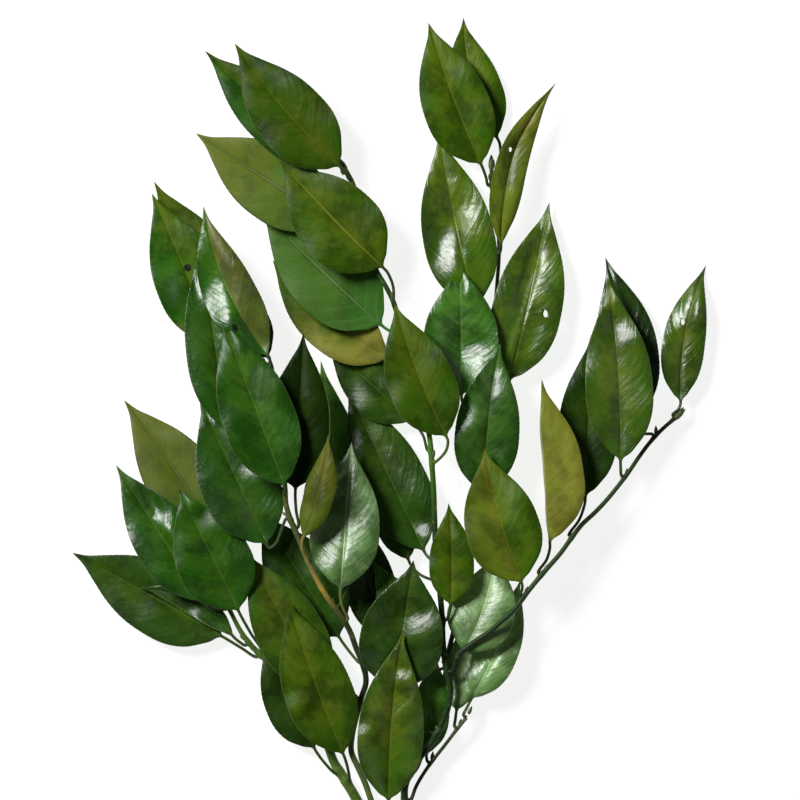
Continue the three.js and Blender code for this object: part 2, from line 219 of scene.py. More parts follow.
# The looks by leaf, under its node's name without leaf_
LOOKS = {
    "centre_01": matte("green", half=("olive", 1, 1.0, 0.42)),
    "centre_02": matte("olive", 0.8, drift=(0.3, -0.12)),
    "centre_03": usual("under_khaki", 1.06, back=True, drift=(0.5, -0.15)),
    "centre_04": matte("olive", 1.03, rib=0.9),
    "centre_05": usual("under_bluish", 0.96, back=True),
    "centre_06": matte("yellow", drift=(1.2, -0.35)),
    "centre_07": usual("deep", 0.95),
    "centre_08": matte("olive", 0.95, stalk=(96, 124, 60)),
    "centre_09": glossy(
        "deep", 0.92, gloss=0.3, dents=((0.72, -0.5, 7, 5, 0.8), (0.1, 0.6, 8, 6, 0.9)),
    ),
    "centre_10": usual("dark", 1.4),
    "centre_11": glossy("deep", 0.9, gloss=0.45, dents=((0.55, 0.5, 10, 14, 0.9),)),
    "centre_12": glossy("olive", 1.18, dents=((0.74, 0.3, 6, 9, 1.0), (0.42, -0.8, 6, 6, 0.8))),
    # centre_13's raised value is painted light, lifting the shade that falls on it; its rim is a
    # painted highlight.
    "centre_13": usual("green", 1.5, rim=1.0),
    "centre_14": usual("dark"),
    "centre_15": matte("olive", 1.12),
    "top_01": matte("olive", 1.14, dents=((0.6, 0.5, 12, 9, 0.3),)),
    "top_02": matte("olive", 1.38, rib=0.9),
    "top_03": usual(
        "khaki_green", 1.38, hole=(0.54, -0.45, 1.2), dents=((0.42, 0.3, 20, 8, 1.0),),
    ),
    "top_04": glossy("olive", 1.36, dents=((0.32, -0.4, 17, 10, 1.1), (0.5, 0.5, 14, 9, 0.7))),
    "top_05": glossy(
        "olive", 1.32, hole=(0.40, 0.55, 2.0),
        dents=((0.4, -0.12, 30, 4, 0.8), (0.25, 0.6, 10, 8, 0.3), (0.9, 0.0, 8, 6, 1.0)),
    ),
    "top_06": glossy("bluish", 1.75, dents=((0.83, 0.0, 9, 5, 0.8), (0.22, 0.5, 16, 13, 1.0))),
    "top_07": glossy(
        "bluish", 1.08, gloss=0.45, dents=((0.72, 0.2, 14, 8, 1.0), (0.5, -0.6, 11, 8, 0.8)),
    ),
    "right_01": matte(
        "khaki_green", 1.22, half=("olive", 1, 1.2, 0.42), dents=((0.6, 0.5, 16, 9, 0.35),),
    ),
    "right_02": matte("khaki", 1.2),
    "right_03": matte("deep", 0.66),
    "right_04": glossy(
        "olive", 1.22, rough=0.34, dents=((0.7, 0.42, 9, 13, 1.1), (0.9, 0.0, 6, 5, 1.0)),
    ),
    "right_05": glossy("dark", 1.1, dents=((0.9, 0.4, 9, 4, 1.0),)),
    "right_06": glossy(
        "olive", 1.1, hole=(0.56, -0.25, 1.6),
        dents=((0.68, -0.4, 14, 10, 1.2), (0.5, 0.5, 22, 7, -0.6)),
    ),
    # right_07's pale silver tone at a high value is painted sheen.
    "right_07": glossy(
        "silver_sheen", 2.35, rough=0.36, relief=0.6,
        dents=((0.45, -0.4, 32, 14, 0.85), (0.5, 0.4, 32, 14, 0.8)),
    ),
    # lower_01's raised value is painted light, lifting the shade that falls on it.
    "lower_01": usual("bluish", 1.7),
    # lower_02 and lower_03: the pale silver tone at high values is painted sheen, and lifts the shade
    # over them as painted light.
    "lower_02": glossy("silver_sheen", 2.7, dents=((0.4, 0.4, 26, 14, 1.1), (0.4, -0.4, 20, 10, 1.0))),
    "lower_03": glossy("silver_sheen", 2.0, dents=((0.3, 0.0, 22, 10, 0.9),)),
    # left_01's night tone is painted shade, which its raised value partly lifts again as painted
    # light.
    "left_01": usual("night", 2.4),
    "left_02": matte("olive", 0.9),
    "left_03": usual(
        "olive", 1.2, half=("green", -1, 1.25, 0.36), spots=((0.5, 0.1, 1.7),),
        dents=((0.4, -0.5, 12, 7, 0.5),),
    ),
    "left_04": glossy(
        "green", 1.3, half=("khaki_green", 1, 0.88, 0.5),
        spots=((0.25, -0.45, 1.8),), dents=((0.4, -0.5, 20, 9, 1.1), (0.4, 0.5, 30, 7, -0.5)),
    ),
    "left_05": glossy("green", 0.88, droop=0.0, wave=0.2, dents=((0.76, -0.1, 14, 7, 1.0),)),
    "left_06": usual("green"),
    "left_07": usual("green", 0.98, dents=((0.85, -0.3, 8, 6, 0.5),)),
    "left_08": glossy(
        "green", 0.8, droop=0.05, dents=((0.86, 0.1, 6, 5, 1.0), (0.47, 0.68, 9, 9, 1.1)),
    ),
    # left_09's low values are painted shadow from the leaf beside it, most on its left half; its rim
    # is a painted highlight.
    "left_09": matte("dark", 0.36, gloss=0.06, rim=1.0, half=("deep", 1, 0.42, 0.42)),
    "left_10": matte("khaki_green", 0.76, rib=0.9, stalk=(156, 146, 74)),
    # left_11's pale silver tone at a high value is painted sheen.
    "left_11": glossy(
        "silver_sheen", 2.0, rib=0.8, stalk=(120, 132, 74),
        dents=(
            (0.62, -0.25, 18, 7, 1.0), (0.3, 0.3, 24, 14, 0.8), (0.28, -0.35, 18, 10, 0.9),
            (0.65, 0.5, 22, 10, 0.5),
        ),
    ),
    "left_12": usual("dark", 1.3),
    # left_13's raised value is painted light, lifting the shade that falls on it.
    "left_13": usual("bluish", 1.6),
    "left_14": matte("brown", 1.12),
    "far_left_01": usual("under_khaki", 0.88, back=True, drift=(0.5, -0.1)),
    "far_left_02": glossy("green", dents=((0.55, 0.35, 16, 3.5, 1.0),)),
    "far_left_03": usual("green", 0.95, dents=((0.68, 0.3, 8, 16, 0.8), (0.9, 0.0, 8, 5, 0.9))),
    "far_left_04": usual("deep", 0.97, wave=0.1, droop=0.0),
    # far_left_05's strong rim is a painted highlight along its raised lower edge.
    "far_left_05": usual(
        "bluish", 0.9, rib=0.6, rim=2.5, gloss=0.5, dents=((0.4, -0.9, 26, 3, 1.3),),
    ),
    "far_left_06": matte("olive", 1.03, dents=((0.42, -0.8, 8, 8, 1.0),)),
    "far_left_07": usual("deep", 0.68),
}


def smoothstep(low, high, x):
    x = min(1.0, max(0.0, (x - low) / (high - low)))
    return x * x * (3 - 2 * x)


def blend(a, b, share):
    return a + (b - a) * share


class Through:
    """A smooth curve through vectors or numbers at uneven knots."""

    def __init__(self, knots, values):
        self.knots, self.values = knots, values
        last = len(knots) - 1
        self.slopes = []
        for i in range(len(knots)):
            a, b = max(0, i - 1), min(last, i + 1)
            self.slopes.append((values[b] - values[a]) / (knots[b] - knots[a]))

    def at(self, x):
        k = self.knots
        i = 0
        while i < len(k) - 2 and x > k[i + 1]:
            i += 1
        width = k[i + 1] - k[i]
        t = min(1.0, max(0.0, (x - k[i]) / width))
        a, b = self.values[i], self.values[i + 1]
        p, q = self.slopes[i] * width, self.slopes[i + 1] * width
        return (
            a * (2 * t**3 - 3 * t**2 + 1) + p * (t**3 - 2 * t**2 + t)
            + b * (3 * t**2 - 2 * t**3) + q * (t**3 - t**2)
        )


def lengths_along(points):
    """The distance along a chain of points to each of them."""
    total = [0.0]
    for a, b in zip(points, points[1:]):
        total.append(total[-1] + (b - a).length)
    return total


# ---- Reading the CAD solids ----

def corners_of(node):
    """The corners of a CAD solid, each once, and for each the corners it shares an edge with."""
    solid = bmesh.new()
    solid.from_mesh(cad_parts[node].data)
    bmesh.ops.remove_doubles(solid, verts=solid.verts, dist=WELD)
    solid.verts.index_update()
    solid.verts.ensure_lookup_table()
    places = [v.co.copy() for v in solid.verts]
    links = [[e.other_vert(v).index for e in v.link_edges] for v in solid.verts]
    solid.free()
    return places, links


def middle(points):
    return sum(points, Vector()) / len(points)


def mean(numbers):
    return sum(numbers) / len(numbers)


def read_leaf(node):
    """The petiole's centres, the blade's rows and the tip's place, from the foot to the tip.

    A blade's row holds its place on the midrib, on the left and the right edge, and its up
    direction. The corners of one ring are equally many edges away from the tip, which is the
    corner that stands furthest from any other.
    """
    places, links = corners_of(node)
    alone = [min((a - b).length for b in places if b is not a) for a in places]
    tip = alone.index(max(alone))
    hops = {tip: 0}
    queue = [tip]
    for i in queue:
        for j in links[i]:
            if j not in hops:
                hops[j] = hops[i] + 1
                queue.append(j)
    rings = [[] for _ in range(max(hops.values()) + 1)]
    for i, hop in hops.items():
        rings[-1 - hop].append(places[i])
    petiole = [middle(ring) for ring in rings[:PETIOLE_RINGS]]
    blade = []
    for ring in rings[PETIOLE_RINGS:-1]:
        pairs = sorted(
            ((a - b).length, i, j) for i, a in enumerate(ring) for j, b in enumerate(ring) if i < j
        )
        edge = pairs[0][1:]
        other = next(p[1:] for p in pairs[1:] if not set(p[1:]) & set(edge))
        rib = [ring[i] for i in range(RING_CORNERS) if i not in edge + other]
        rib.sort(key=lambda point: point.z)
        mid = middle(rib)
        sides = [middle([ring[i] for i in pair]) for pair in (edge, other)]
        blade.append([mid, *sides, (rib[1] - rib[0]).normalized()])
    end = places[tip]
    for i, row in enumerate(blade):
        ahead = blade[i + 1][0] if i + 1 < len(blade) else end
        right = (ahead - row[0]).cross(UP)
        row[1:3] = sorted(row[1:3], key=lambda point: (point - row[0]).dot(right))
    return petiole, blade, end


def read_twig(node):
    """The centre and radius of each ring of a twig's solid, from its thick end to its thin end."""
    places, links = corners_of(node)
    ring_of = {}
    rings = []
    for start in range(len(places)):
        if start in ring_of:
            continue
        ring_of[start] = len(rings)
        queue = [start]
        for i in queue:
            for j in links[i]:
                if j not in ring_of and (places[i] - places[j]).length < RING_EDGE:
                    ring_of[j] = len(rings)
                    queue.append(j)
        rings.append([places[i] for i in queue])
    centres = [middle(ring) for ring in rings]
    beside = {i: set() for i in range(len(rings))}
    for i, others in enumerate(links):
        for j in others:
            if ring_of[i] != ring_of[j]:
                beside[ring_of[i]].add(ring_of[j])
    ends = [i for i, near in beside.items() if len(near) == 1]
    order = [min(ends, key=lambda i: centres[i].y)]
    while len(order) < len(rings):
        order.append(next(i for i in beside[order[-1]] if i not in order))
    radii = [mean([(point - centres[i]).length for point in rings[i]]) for i in order]
    return [centres[i] for i in order], radii


def nearest_on(path, point):
    """The place on a chain of points that is nearest to point."""
    best = None
    for a, b in zip(path, path[1:]):
        run = b - a
        share = min(1.0, max(0.0, (point - a).dot(run) / run.length_squared))
        place = a + run * share
        if best is None or (place - point).length < (best - point).length:
            best = place
    return best


# ---- Meshes ----

class Shape:
    """Tubes gathered into one mesh, with their places on the surface and their materials."""

    def __init__(self):
        self.verts, self.faces, self.marks, self.coords, self.flat = [], [], [], [], []

    def face(self, corners, mark, spots, flat=False):
        self.faces.append(tuple(corners))
        self.marks.append(mark)
        self.coords += spots
        self.flat.append(flat)

    def tube(self, rows, uv, mark, tip=None, cap_mark=None):
        """A closed tube through rows of points. It ends in a point where tip is given."""
        first, size = len(self.verts), len(rows[0])
        self.verts += [point for row in rows for point in row]
        for r in range(len(rows) - 1):
            for c in range(size):
                d = (c + 1) % size
                a, b = first + r * size + c, first + r * size + d
                spots = [uv(r, c), uv(r, c + 1), uv(r + 1, c + 1), uv(r + 1, c)]
                self.face((a, b, b + size, a + size), mark(r, c), spots)
        ring = list(range(size))
        cap = mark(0, 0) if cap_mark is None else cap_mark
        self.face([first + c for c in ring[::-1]], cap, [uv(0, c) for c in ring[::-1]], True)
        last = first + (len(rows) - 1) * size
        if tip is None:
            spots = [uv(len(rows) - 1, c) for c in ring]
            self.face([last + c for c in ring], cap, spots, True)
            return
        self.verts.append(tip)
        for c in ring:
            spots = [uv(len(rows) - 1, c), uv(len(rows) - 1, c + 1), (0.5, 1.0)]
            corners = (last + c, last + (c + 1) % size, len(self.verts) - 1)
            self.face(corners, mark(len(rows) - 2, c), spots)

    def piece(self, name, materials):
        mesh = bpy.data.meshes.new(name)
        mesh.from_pydata(self.verts, [], self.faces)
        layer = mesh.uv_layers.new(name="surface")
        layer.data.foreach_set("uv", [number for spot in self.coords for number in spot])
        mesh.polygons.foreach_set("material_index", self.marks)
        mesh.polygons.foreach_set("use_smooth", [not flat for flat in self.flat])
        for material in materials:
            mesh.materials.append(material)
        mesh.validate()
        obj = bpy.data.objects.new(name, mesh)
        bpy.context.scene.collection.objects.link(obj)
        return obj


def tooth(length, s):
    """How far the margin stands out at a place along the blade, as teeth that point forward."""
    first, last = TOOTHED
    if not first < s < last:
        return 0.0
    share = (s * length / TOOTH_LENGTH) % 1.0
    rise = share / TOOTH_PEAK if share < TOOTH_PEAK else (1 - share) / (1 - TOOTH_PEAK)
    fade = smoothstep(first, first + TOOTH_FADE, s) * (1 - smoothstep(last - TOOTH_FADE, last, s))
    return rise * fade * TOOTH_HEIGHT


class Leaf:
    """The surface of one leaf, petiole and blade, as points at places along and across it."""

    def __init__(self, node, look, bark_paths):
        petiole, blade, end = read_leaf(node)
        self.look, self.end = look, end
        dice = random.Random(node)
        anchors = [nearest_on(path, petiole[0]) for path in bark_paths]
        anchor = min(anchors, key=lambda q: (q - petiole[0]).length)
        spine = [anchor] + petiole + [row[0] for row in blade] + [end]
        knots = lengths_along(spine)
        foot = 1 + PETIOLE_RINGS
        self.start = knots[foot]
        self.length = knots[-1] - self.start
        self.axis = Through(knots, spine)
        blade_knots = [(k - self.start) / self.length for k in knots[foot:]]
        self.edges = [
            Through(blade_knots, [row[side] - row[0] for row in blade] + [Vector()])
            for side in (1, 2)
        ]
        self.ups = Through(blade_knots, [row[3] for row in blade] + [blade[-1][3]])
        self.waves = [(dice.uniform(*WAVE_TURNS), dice.uniform(0, math.tau)) for _ in range(WAVES)]
        self.vein_drift = (dice.uniform(*WAVER_TURNS), dice.uniform(0, math.tau))
        self.dents = [self.dent(*row) for row in look["dents"]]
        self.dents += [self.stray_dent(dice) for _ in range(STRAY_DENTS)]

    def dent(self, s, x, size_along, size_across, turn):
        """A dent's place, its lean, and its axes, which are shorter the larger it is."""
        here = self.middle_at(s, x)
        ds, dx = DENT_STEPS
        along = self.middle_at(s + ds, x) - self.middle_at(s - ds, x)
        beside = self.middle_at(s, x + dx) - self.middle_at(s, x - dx)
        normal = beside.cross(along)
        normal = normal / normal.z
        lean = (DENT_NORMAL - Vector((normal.x, normal.y, 0))) * turn
        axes = (along.normalized() / (size_along * MM), beside.normalized() / (size_across * MM))
        return here, lean, axes

    def stray_dent(self, dice):
        here = self.middle_at(dice.uniform(*STRAY_ALONG), dice.uniform(*STRAY_ACROSS))
        turn, slope = dice.uniform(0, math.tau), dice.uniform(*STRAY_SLOPE)
        lean = Vector((math.cos(turn), math.sin(turn), 0)) * slope
        turn, reach = dice.uniform(0, math.tau), dice.uniform(*STRAY_SIZE) * MM
        axis = Vector((math.cos(turn), math.sin(turn), 0))
        return here, lean, (axis / (STRAY_STRETCH * reach), axis.cross(UP) / reach)

    def frame_at(self, s):
        """The midrib's place, the way up, the ways out to both margins, and the rib's radius."""
        centre = self.axis.at(self.start + s * self.length)
        ahead = self.axis.at(self.start + (s + TANGENT_STEP) * self.length)
        behind = self.axis.at(self.start + (s - TANGENT_STEP) * self.length)
        tangent = (ahead - behind).normalized()
        up = self.ups.at(max(0.0, s))
        up = (up - tangent * up.dot(tangent)).normalized()
        right = tangent.cross(up)
        from_twig = max(0.0, s * self.length + self.start)
        radius = PETIOLE_RADIUS * (1 + FOOT_FLARE * math.exp(-from_twig / FOOT_LENGTH))
        radius *= blend(1.0, RIB_AT_TIP, smoothstep(0.0, 1.0, s))
        spans = []
        for side, sign in ((0, -1), (1, 1)):
            span = right * sign * radius
            if s > 0:
                edge = self.edges[side].at(s)
                edge = edge * (1 + tooth(self.length, s) / max(edge.length, 1e-6))
                span = blend(span, edge, smoothstep(0.0, BLADE_OPENS, s))
            spans.append(span)
        return centre, up, spans, radius

    def lift(self, s, v, sign):
        """How far the blade stands above the straight line from midrib to margin."""
        look = self.look
        body = math.sin(math.pi * max(0.0, min(1.0, s)) ** BODY_POWER)
        turns, first = self.vein_drift
        phase = VEINS * (s - VEIN_SLANT * v - VEIN_BEND * v**3) + VEIN_STAGGER * sign
        phase += VEIN_WAVER * math.sin(math.tau * turns * s + first + sign)
        quilt = QUILT_HEIGHT * math.cos(math.tau * phase) * math.sin(math.pi * v)
        hump = look["arch"] * MM * math.sin(math.pi * v**HALF_POWER) * body
        ripple = sum(math.sin(math.tau * turns * s + first + sign) for turns, first in self.waves)
        ripple *= look["wave"] * MM * v * v * body
        droop = look["droop"] * MM * smoothstep(DROOP_STARTS, 1.0, v) * body
        return quilt * (-1 if look["back"] else 1) + hump + ripple - droop

    def middle_at(self, s, x):
        centre, up, spans, _ = self.frame_at(s)
        sign = -1 if x < 0 else 1
        span = spans[0] if x < 0 else spans[1]
        return centre + span * abs(x) + up * self.lift(s, abs(x), sign)

    def dented(self, point):
        """How far the dents move a point of the blade."""
        depth = 0.0
        for here, lean, axes in self.dents:
            away = point - here
            near = (away.dot(axes[0]) ** 2 + away.dot(axes[1]) ** 2) ** DENT_EDGE
            if near < DENT_REACH:
                depth -= (lean.x * away.x + lean.y * away.y) * math.exp(-near)
        return depth

    def ring_at(self, s):
        """The points round the leaf, each after its side and its share of the way out."""
        centre, up, spans, radius = self.frame_at(s)
        face_down = self.look["back"]
        flat = smoothstep(0.0, PETIOLE_MERGES, s)
        top, bottom = [], []
        for sign, span in ((-1, spans[0]), (1, spans[1])):
            half = span.length
            for k, column in enumerate(COLUMNS):
                ring_column = math.sin(math.pi / 2 * k / (len(COLUMNS) - 1))
                v = blend(ring_column, column, flat)
                thin = BLADE_THICKNESS / 2 * math.sqrt(max(0.0, 1 - v**MARGIN_POWER))
                round_height = radius * math.sqrt(max(0.0, 1 - v * v))
                away = v * half
                rib = max(thin, math.sqrt(max(0.0, radius**2 - away**2)))
                groove = GROOVE_DEPTH * math.exp(-((away / GROOVE_WIDTH) ** 2))
                groove *= 1 - GROOVE_FADE * s
                raised, sunk = rib, thin - groove
                upper, lower = (raised, sunk) if face_down else (sunk, raised)
                upper = blend(round_height, upper, flat)
                lower = blend(round_height, lower, flat)
                spot = centre + span * v
                lift = (self.lift(s, v, sign) + self.dented(spot)) * flat
                top.append((sign, v, spot + up * (upper + lift)))
                bottom.append((sign, v, spot - up * (lower - lift)))
        n = len(COLUMNS)
        loop = top[:n][::-1] + top[n + 1:] + bottom[n:2 * n - 1][::-1] + bottom[1:n - 1]
        return loop[::-1]


def build_leaf(node, look, materials, bark_paths):
    leaf = Leaf(node, look, bark_paths)
    stalk_rows = max(FEWEST_ROWS, round(leaf.start / PETIOLE_STEP))
    teeth = round(leaf.length * TEETH_SPAN / TOOTH_LENGTH)
    places = [(i / stalk_rows - 1) * leaf.start / leaf.length for i in range(stalk_rows)]
    places += [(i + part) / teeth for i in range(teeth) for part in TOOTH_PLACES]
    places = [s for s in places if s < LAST_ROW]
    loops = [leaf.ring_at(s) for s in places]
    size = len(loops[0])
    per_face = 2 * (len(COLUMNS) - 1)

    def uv(r, c):
        sign, v, _ = loops[r][c % size]
        return (0.5 + 0.5 * sign * v, places[r])

    def mark(r, c):
        on_top = (size - 2 - c) % size < per_face
        return 1 if on_top == look["back"] else 0

    shape = Shape()
    shape.tube([[point for _, _, point in loop] for loop in loops], uv, mark, leaf.end)
    obj = shape.piece(node + "_fine", materials)
    if look["hole"]:
        s, x, radius = look["hole"]
        pierce(obj, leaf.middle_at(s, x), radius * MM)
    return obj


def pierce(obj, place, radius):
    """Cuts a small ragged hole down through a piece."""
    dice = random.Random(obj.name)
    radii = [radius * dice.uniform(*HOLE_RAGGED) for _ in range(HOLE_SIDES)]
    rows = []
    for height in (-HOLE_DEPTH, HOLE_DEPTH):
        row = []
        for k, reach in enumerate(radii):
            turn = math.tau * k / HOLE_SIDES
            x, y = HOLE_NARROW * reach * math.cos(turn), reach * math.sin(turn)
            row.append(place + Vector((x, y, height)))
        rows.append(row)
    cutter = Shape()
    cutter.tube(rows, lambda r, c: (0.5, 0.5), lambda r, c: 0)
    knife = cutter.piece("knife", [])
    cut = obj.modifiers.new("cut", "BOOLEAN")
    cut.operation = "DIFFERENCE"
    cut.object = knife
    bpy.context.view_layer.update()
    seen = obj.evaluated_get(bpy.context.evaluated_depsgraph_get())
    mesh = bpy.data.meshes.new_from_object(seen)
    obj.modifiers.clear()
    obj.data = mesh
    bpy.data.objects.remove(knife)


def add_bud(shape, place, heading, length, radius):
    """A pointed bud of overlapping scales."""
    heading = heading.normalized()
    right = heading.cross(UP).normalized()
    up = right.cross(heading)
    rows = []
    for i in range(BUD_ROWS):
        share = i / BUD_ROWS
        girth = radius * math.sin(math.pi * blend(BUD_FOOT, 1, share) ** BUD_POWER) ** BUD_POWER
        girth *= 1 + BUD_SCALE_STEP * ((share * BUD_SCALES) % 1.0)
        centre = place + heading * length * share
        row = []
        for k in range(BUD_SIDES):
            turn = -math.tau * k / BUD_SIDES
            row.append(centre + (right * math.cos(turn) + up * math.sin(turn)) * girth)
        rows.append(row)
    tip = place + heading * length
    shape.tube(rows, lambda r, c: (c / BUD_SIDES, r / BUD_ROWS), lambda r, c: 1, tip)


class Twig:
    """The bark of one twig, as points at places along and round it."""

    def __init__(self, node, paths, dice):
        centres, radii = paths[node]
        self.spine, girths = list(centres), list(radii)
        if node != "stem_main":
            others = [path for name, (path, _) in paths.items() if name != node]
            anchors = [nearest_on(path, centres[0]) for path in others]
            self.spine.insert(0, min(anchors, key=lambda q: (q - centres[0]).length))
            girths.insert(0, girths[0])
        knots = lengths_along(self.spine)
        self.axis, self.girth = Through(knots, self.spine), Through(knots, girths)
        self.length = knots[-1]
        self.steps = round(self.length / TWIG_STEP)
        self.dice = dice
        self.feet = []

    def bear(self, petiole, shape):
        """Marks where a petiole meets this twig, if it does, and puts a bud in its axil."""
        foot = petiole[0]
        spot = nearest_on(self.spine, foot)
        if (spot - foot).length >= NODE_REACH:
            return
        places = [self.length * i / self.steps for i in range(self.steps + 1)]
        at = min(places, key=lambda place: (self.axis.at(place) - spot).length)
        self.feet.append((at, foot))
        out = (petiole[1] - spot).normalized()
        onward = (self.axis.at(at + MM) - self.axis.at(at - MM)).normalized()
        size = self.dice.uniform(*AXIL_SIZE)
        start = spot + onward * AXIL_ONWARD + out * AXIL_OUT
        heading = onward + out * AXIL_LEAN
        add_bud(shape, start, heading, AXIL_LENGTH * size, AXIL_RADIUS * size)

    def end_bud(self, shape):
        onward = self.spine[-1] - self.spine[-2]
        start = self.spine[-1] - onward.normalized() * END_BUD_SUNK
        add_bud(shape, start, onward, *END_BUD)

    def ring_at(self, at, narrowed, turn):
        centre = self.axis.at(at)
        tangent = self.axis.at(at + TWIG_TANGENT_STEP) - self.axis.at(at - TWIG_TANGENT_STEP)
        tangent.normalize()
        up = (UP - tangent * UP.dot(tangent)).normalized()
        right = tangent.cross(up)
        radius = self.girth.at(at) * narrowed
        ring = []
        for k in range(TWIG_SIDES):
            angle = -math.tau * k / TWIG_SIDES
            out = right * math.cos(angle) + up * math.sin(angle)
            swell = 1 + RIDGE_HEIGHT * math.sin(RIDGES * angle + at / RIDGE_TURN + turn)
            for place, foot in self.feet:
                near = math.exp(-(((at - place) / NODE_LENGTH) ** 2))
                facing = max(0.0, out.dot((foot - centre).normalized()))
                swell += near * (NODE_SWELL + NODE_SWELL_TOWARDS * facing**2)
                swell += SCAR_HEIGHT * math.exp(-(((at - place + SCAR_BELOW) / SCAR_WIDTH) ** 2))
            ring.append(centre + out * radius * swell)
        return ring


def build_twig(node, paths, petioles, materials):
    """A twig's bark, from inside the twig that bears it to its end, and its buds."""
    dice = random.Random(node)
    twig = Twig(node, paths, dice)
    shape = Shape()
    for petiole in petioles:
        twig.bear(petiole, shape)
    if node not in NO_END_BUD:
        twig.end_bud(shape)
    turn = dice.uniform(0, math.tau)
    rows = []
    for i in range(twig.steps + 1):
        narrowed = FIRST_RING if i == 0 else 1.0
        rows.append(twig.ring_at(twig.length * i / twig.steps, narrowed, turn))

    def uv(r, c):
        return (c / TWIG_SIDES, r / twig.steps)

    shape.tube(rows, uv, lambda r, c: 0, cap_mark=2)
    return shape.piece(node + "_fine", materials)


# ---- Materials ----

# The colour sockets of a Mix node
MIX_A, MIX_B, MIX_RESULT = 6, 7, 2


class Paint:
    """Shader nodes by short names."""

    def __init__(self, name):
        self.material = bpy.data.materials.new(name)
        self.material.use_nodes = True
        self.tree = self.material.node_tree
        self.shader = self.tree.nodes["Principled BSDF"]

    def put(self, value, socket):
        if isinstance(value, bpy.types.NodeSocket):
            self.tree.links.new(value, socket)
        else:
            socket.default_value = value

    def node(self, kind, sockets, **settings):
        """A new node's outputs, with its sockets set or linked."""
        made = self.tree.nodes.new(kind)
        for key, value in settings.items():
            setattr(made, key, value)
        for key, value in sockets.items():
            self.put(value, made.inputs[key])
        return made.outputs

    def math(self, operation, *terms):
        return self.node("ShaderNodeMath", dict(enumerate(terms)), operation=operation)[0]

    def mix(self, share, a, b):
        sockets = {"Factor": share, MIX_A: a, MIX_B: b}
        return self.node("ShaderNodeMix", sockets, data_type="RGBA")[MIX_RESULT]

    def over(self, colour, mask, strength, other):
        """The colour, with another laid over it where the mask is."""
        return self.mix(self.math("MULTIPLY", mask, strength), colour, other)

    def steps(self, low, high, value):
        """0 where the value is under low, rising to 1 where it is over high."""
        sockets = {"Value": value, "From Min": low, "From Max": high}
        return self.node("ShaderNodeMapRange", sockets, interpolation_type="SMOOTHSTEP")["Result"]

    def below(self, low, high, value):
        """1 where the value is under low, fading to 0 where it is over high."""
        return self.math("SUBTRACT", 1.0, self.steps(low, high, value))

    def noise(self, place, scale, detail=3.0, roughness=0.55):
        sockets = {"Vector": place, "Scale": scale, "Detail": detail, "Roughness": roughness}
        return self.node("ShaderNodeTexNoise", sockets)["Fac"]

    def patches(self, place, patch):
        """Ragged patches: how fine, the noise's detail and roughness, and where they fade in."""
        scale, detail, roughness, low, high = patch
        return self.steps(low, high, self.noise(place, scale, detail, roughness))

    def vector(self, x, y, z):
        return self.node("ShaderNodeCombineXYZ", {"X": x, "Y": y, "Z": z})[0]

    def shifted(self, place, by):
        return self.node("ShaderNodeVectorMath", {0: place, 1: by}, operation="ADD")[0]

    def surface(self):
        """The places across and along the surface, and the place in space."""
        place = self.node("ShaderNodeUVMap", {}, uv_map="surface")[0]
        parts = self.node("ShaderNodeSeparateXYZ", {0: place})
        return parts[0], parts[1], self.node("ShaderNodeTexCoord", {})["Object"]

    def finish(self, colour, settings):
        """Gives the shader its colour, and sets its other sockets by name."""
        for name, value in {"Base Color": colour, **settings}.items():
            self.put(value, self.shader.inputs[name])

    def bump(self, height, strength, distance):
        sockets = {"Strength": strength, "Distance": distance, "Height": height}
        self.put(self.node("ShaderNodeBump", sockets)[0], self.shader.inputs["Normal"])


def rgb(r, g, b, value=1.0):
    """A colour from display values of 0 to 255, made lighter or darker."""
    def linear(x):
        x /= 255
        return x / 12.92 if x <= 0.04045 else ((x + 0.055) / 1.055) ** 2.4

    return (linear(r) * value, linear(g) * value, linear(b) * value, 1.0)


# Tones of the leaves: the main colour, the one it drifts to, and the midrib's
TONES = {
    "deep": ((48, 88, 12), (66, 98, 20), (92, 124, 46)),
    "green": ((42, 98, 10), (64, 108, 18), (96, 136, 50)),
    "bluish": ((46, 94, 18), (70, 114, 34), (104, 142, 70)),
    "olive": ((64, 104, 8), (90, 112, 14), (122, 128, 46)),
    "khaki_green": ((100, 122, 28), (122, 124, 38), (104, 112, 38)),
    "khaki": ((146, 148, 54), (130, 138, 46), (100, 106, 36)),
    "brown": ((58, 98, 12), (86, 98, 20), (100, 112, 38)),
    "dark": ((32, 66, 8), (44, 78, 14), (70, 98, 36)),
    # The night tone is darkened as painted shade, for a leaf that lies in shadow.
    "night": ((20, 40, 6), (30, 52, 10), (56, 76, 30)),
    "yellow": ((148, 148, 60), (64, 102, 16), (156, 144, 60)),
    # The pale silver tone, at the high values given it, paints a broad sheen over dark glossy leaves.
    "silver_sheen": ((74, 106, 52), (104, 130, 84), (130, 152, 112)),
    "under_khaki": ((66, 114, 22), (108, 122, 34), (118, 134, 60)),
    "under_bluish": ((58, 116, 28), (80, 122, 36), (112, 150, 76)),
    "under_plain": ((84, 124, 60), (110, 128, 70), (128, 152, 88)),
}

# Veins as painted: how far and how finely a noise moves them, and the widths of a vein's line and
# furrow against the distance between two. Fine streaks run beside them.
VEIN_WANDER = 1.1
VEIN_WANDER_SCALE = 45.0
VEIN_LINE = 0.05
VEIN_FURROW = 0.2
STREAKS_PER_VEIN = 3.2
STREAK_BREAKS = 1.4
FACE_STREAKS = (0.48, 0.66)
BACK_STREAKS = (0.5, 0.7)

